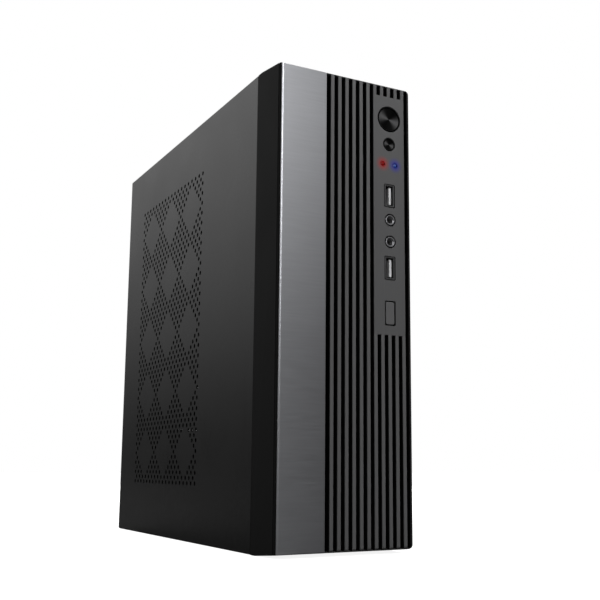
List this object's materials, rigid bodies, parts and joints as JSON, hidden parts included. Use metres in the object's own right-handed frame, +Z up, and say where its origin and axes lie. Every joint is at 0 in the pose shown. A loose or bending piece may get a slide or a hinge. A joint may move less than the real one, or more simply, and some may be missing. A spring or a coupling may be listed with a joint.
{
  "type": "desktop computer tower",
  "caption": "Slim upright desktop computer: steel case, ribbed plastic front with metal trim, sprung buttons, front ports, and a side panel that slides off its working inside.",
  "frame": {"origin": "centre of the bottom of the whole object, on the surface it stands on", "axes": "+X to the right seen from the front, the front faces -Y, +Z up"},
  "size_m": [0.1, 0.326, 0.32],
  "materials": {
    "bezel_plastic": "fine-textured dark grey moulded plastic",
    "trim_metal": "brushed grey metal strip, semi-gloss",
    "spun_metal": "black metal with concentric turning marks",
    "case_paint": "dark grey powder coat, fine texture",
    "zinc_steel": "bare zinc-plated sheet steel, satin",
    "bright_steel": "bright plated steel",
    "black_plastic": "black moulded plastic",
    "circuit_board": "dark green solder mask",
    "fin_aluminium": "plain extruded aluminium",
    "drive_shell": "dark satin drive shell",
    "lead_sheath": "black braided sleeve",
    "red_lens": "clear red light pipe",
    "blue_lens": "clear blue light pipe"
  },
  "bodies": {
    "chassis": {"ac_inlet": "black_plastic", "bezel_trim": "trim_metal", "board_power_lead": "lead_sheath", "chassis_floor": "case_paint", "chassis_front_wall": "zinc_steel", "chassis_rear_wall": "case_paint", "chassis_right_side": "case_paint", "chassis_top": "case_paint", "chipset_heatsink": "fin_aluminium", "clock_battery": "bright_steel", "cpu_fan_frame": "black_plastic", "cpu_heatsink": "fin_aluminium", "drive_bracket": "zinc_steel", "drive_led_lens": "red_lens", "expansion_slot": "black_plastic", "front_bezel": "bezel_plastic", "front_board_lead": "lead_sheath", "front_io_board": "circuit_board", "front_usb_lower": "black_plastic", "front_usb_lower_tongue": "bright_steel", "front_usb_upper": "black_plastic", "front_usb_upper_tongue": "bright_steel", "graphics_slot": "black_plastic", "headphone_jack": "zinc_steel", "io_shield": "bright_steel", "memory_module_1": "circuit_board", "memory_module_2": "circuit_board", "memory_socket_1": "black_plastic", "memory_socket_2": "black_plastic", "microphone_jack": "zinc_steel", "motherboard": "circuit_board", "port_blank": "bezel_plastic", "power_connector": "black_plastic", "power_led_lens": "blue_lens", "processor_socket": "black_plastic", "psu_case": "zinc_steel", "psu_circuit_board": "circuit_board", "psu_fan_frame": "black_plastic", "rear_audio_ports": "zinc_steel", "rear_network_port": "zinc_steel", "rear_usb_ports_lower": "zinc_steel", "rear_usb_ports_upper": "zinc_steel", "rear_video_port": "zinc_steel", "rocker_housing": "black_plastic", "slot_clamp": "zinc_steel", "slot_cover_1": "case_paint", "slot_cover_2": "case_paint", "slot_cover_3": "case_paint", "slot_cover_4": "case_paint", "solid_state_drive": "drive_shell", "storage_module": "circuit_board"},
    "side_panel": {"side_panel": "case_paint"},
    "thumbscrew_upper": {"thumbscrew_upper": "bright_steel"},
    "thumbscrew_lower": {"thumbscrew_lower": "bright_steel"},
    "power_button": {"power_button": "spun_metal"},
    "reset_button": {"reset_button": "spun_metal"},
    "cpu_fan": {"cpu_fan_rotor": "black_plastic"},
    "psu_fan": {"psu_fan_rotor": "black_plastic"},
    "power_rocker": {"power_rocker": "black_plastic"}
  },
  "joints": [
    {"name": "side_panel_slide", "type": "slide", "parent": "chassis", "child": "side_panel", "axis": [0, 1, 0], "range_m": [0, 0.29]},
    {"name": "thumbscrew_upper_turn", "type": "hinge", "parent": "side_panel", "child": "thumbscrew_upper", "pos_m": [-0.0435, 0.157, 0.3], "axis": [0, 1, 0], "continuous": true},
    {"name": "thumbscrew_lower_turn", "type": "hinge", "parent": "side_panel", "child": "thumbscrew_lower", "pos_m": [-0.0435, 0.157, 0.02], "axis": [0, 1, 0], "continuous": true},
    {"name": "power_button_press", "type": "slide", "parent": "chassis", "child": "power_button", "axis": [0, 1, 0], "range_m": [0, 0.0015], "stiffness_N_per_m": 500, "springref_m": -0.002},
    {"name": "reset_button_press", "type": "slide", "parent": "chassis", "child": "reset_button", "axis": [0, 1, 0], "range_m": [0, 0.0015], "stiffness_N_per_m": 500, "springref_m": -0.002},
    {"name": "cpu_fan_spin", "type": "hinge", "parent": "chassis", "child": "cpu_fan", "pos_m": [-0.01, 0.04, 0.17], "axis": [1, 0, 0], "continuous": true},
    {"name": "psu_fan_spin", "type": "hinge", "parent": "chassis", "child": "psu_fan", "pos_m": [0.0055, 0.09, 0.262], "axis": [0, 0, 1], "continuous": true},
    {"name": "power_rocker_tilt", "type": "hinge", "parent": "chassis", "child": "power_rocker", "pos_m": [0.018, 0.1515, 0.282], "axis": [1, 0, 0], "range_deg": [-16, 0]}
  ]
}
